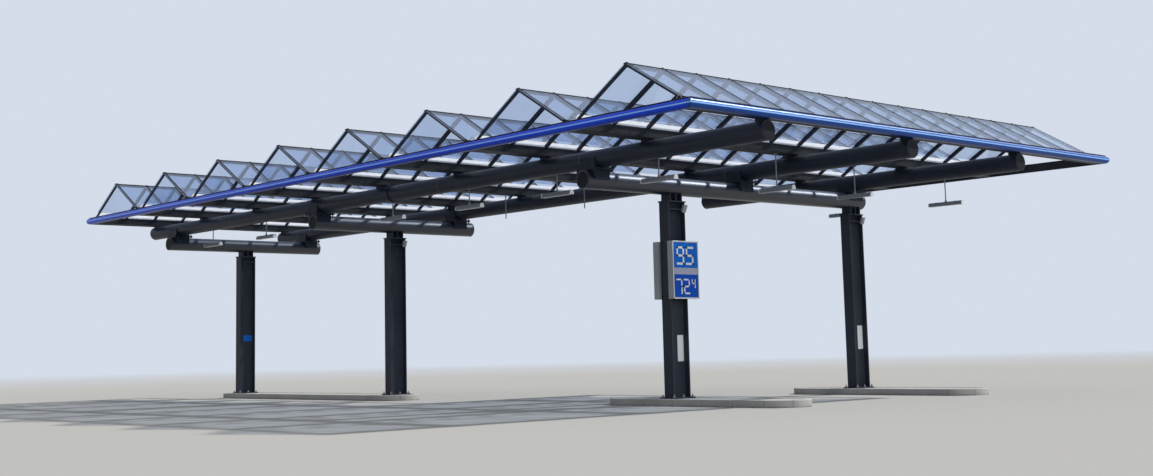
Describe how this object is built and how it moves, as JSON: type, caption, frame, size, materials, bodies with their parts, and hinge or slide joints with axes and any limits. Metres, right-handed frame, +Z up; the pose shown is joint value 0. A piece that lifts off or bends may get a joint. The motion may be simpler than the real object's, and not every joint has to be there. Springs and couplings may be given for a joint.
{
  "type": "filling station canopy",
  "caption": "Filling station canopy with a ridge and furrow glass roof on round steel beams, cross tubes and steel columns that stand on kerbed islands, with lamps and sign boxes.",
  "frame": {"origin": "on the ground under the middle of the roof's outline", "axes": "+Z up, +X along the long side towards the deep end, +Y from the front gables to the rear"},
  "size_m": [27.6, 15.76, 6.9943],
  "materials": {
    "concrete": "pale concrete kerb and paving, worn and a little stained",
    "column_paint": "anthracite coat on rolled steel, satin",
    "tube_paint": "anthracite coat on round tube, satin with soft highlights",
    "dark_steel": "blue-black coat on glazing bars and blocks, satin",
    "gutter_paint": "dark coat on bent plate, with rain marks",
    "fascia_blue": "glossy ultramarine coat on rounded sheet metal",
    "roof_glass": "laminated glass, pale blue grey, with dust at its foot",
    "white_strip": "white coat on bent sheet metal",
    "lamp_grey": "light grey coat on lamp housings and rods",
    "sign_grey": "light grey sign boxes with blue faces"
  },
  "bodies": {
    "root": {"island_left": "concrete", "island_front_right": "concrete", "island_rear_right": "concrete", "column_1": "column_paint", "column_2": "column_paint", "column_3": "column_paint", "column_4": "column_paint", "cross_tube_left": "tube_paint", "cross_tube_middle": "tube_paint", "cross_tube_right": "tube_paint", "beam_front": "tube_paint", "beam_middle": "tube_paint", "beam_rear": "tube_paint", "beam_cradles": "dark_steel", "gutter_seats": "dark_steel", "gutters_deep": "gutter_paint", "gutter_step": "gutter_paint", "gutters_shallow": "gutter_paint", "gutters_edge": "gutter_paint", "fascia_front": "fascia_blue", "fascia_right": "fascia_blue", "fascia_rear_deep": "fascia_blue", "fascia_step": "fascia_blue", "fascia_rear_shallow": "fascia_blue", "fascia_left": "fascia_blue", "ridge_bars": "dark_steel", "rafters_1": "dark_steel", "rafters_2": "dark_steel", "rafters_3": "dark_steel", "rafters_4": "dark_steel", "rafters_5": "dark_steel", "rafters_6": "dark_steel", "rafters_7": "dark_steel", "rafters_8": "dark_steel", "roof_glass_1": "roof_glass", "roof_glass_2": "roof_glass", "roof_glass_3": "roof_glass", "roof_glass_4": "roof_glass", "roof_glass_5": "roof_glass", "roof_glass_6": "roof_glass", "roof_glass_7": "roof_glass", "roof_glass_8": "roof_glass", "eaves_strips": "white_strip", "lamp_rods": "lamp_grey", "ceiling_lamps": "lamp_grey", "price_sign_right": "sign_grey", "price_sign_left": "sign_grey"}
  },
  "joints": []
}
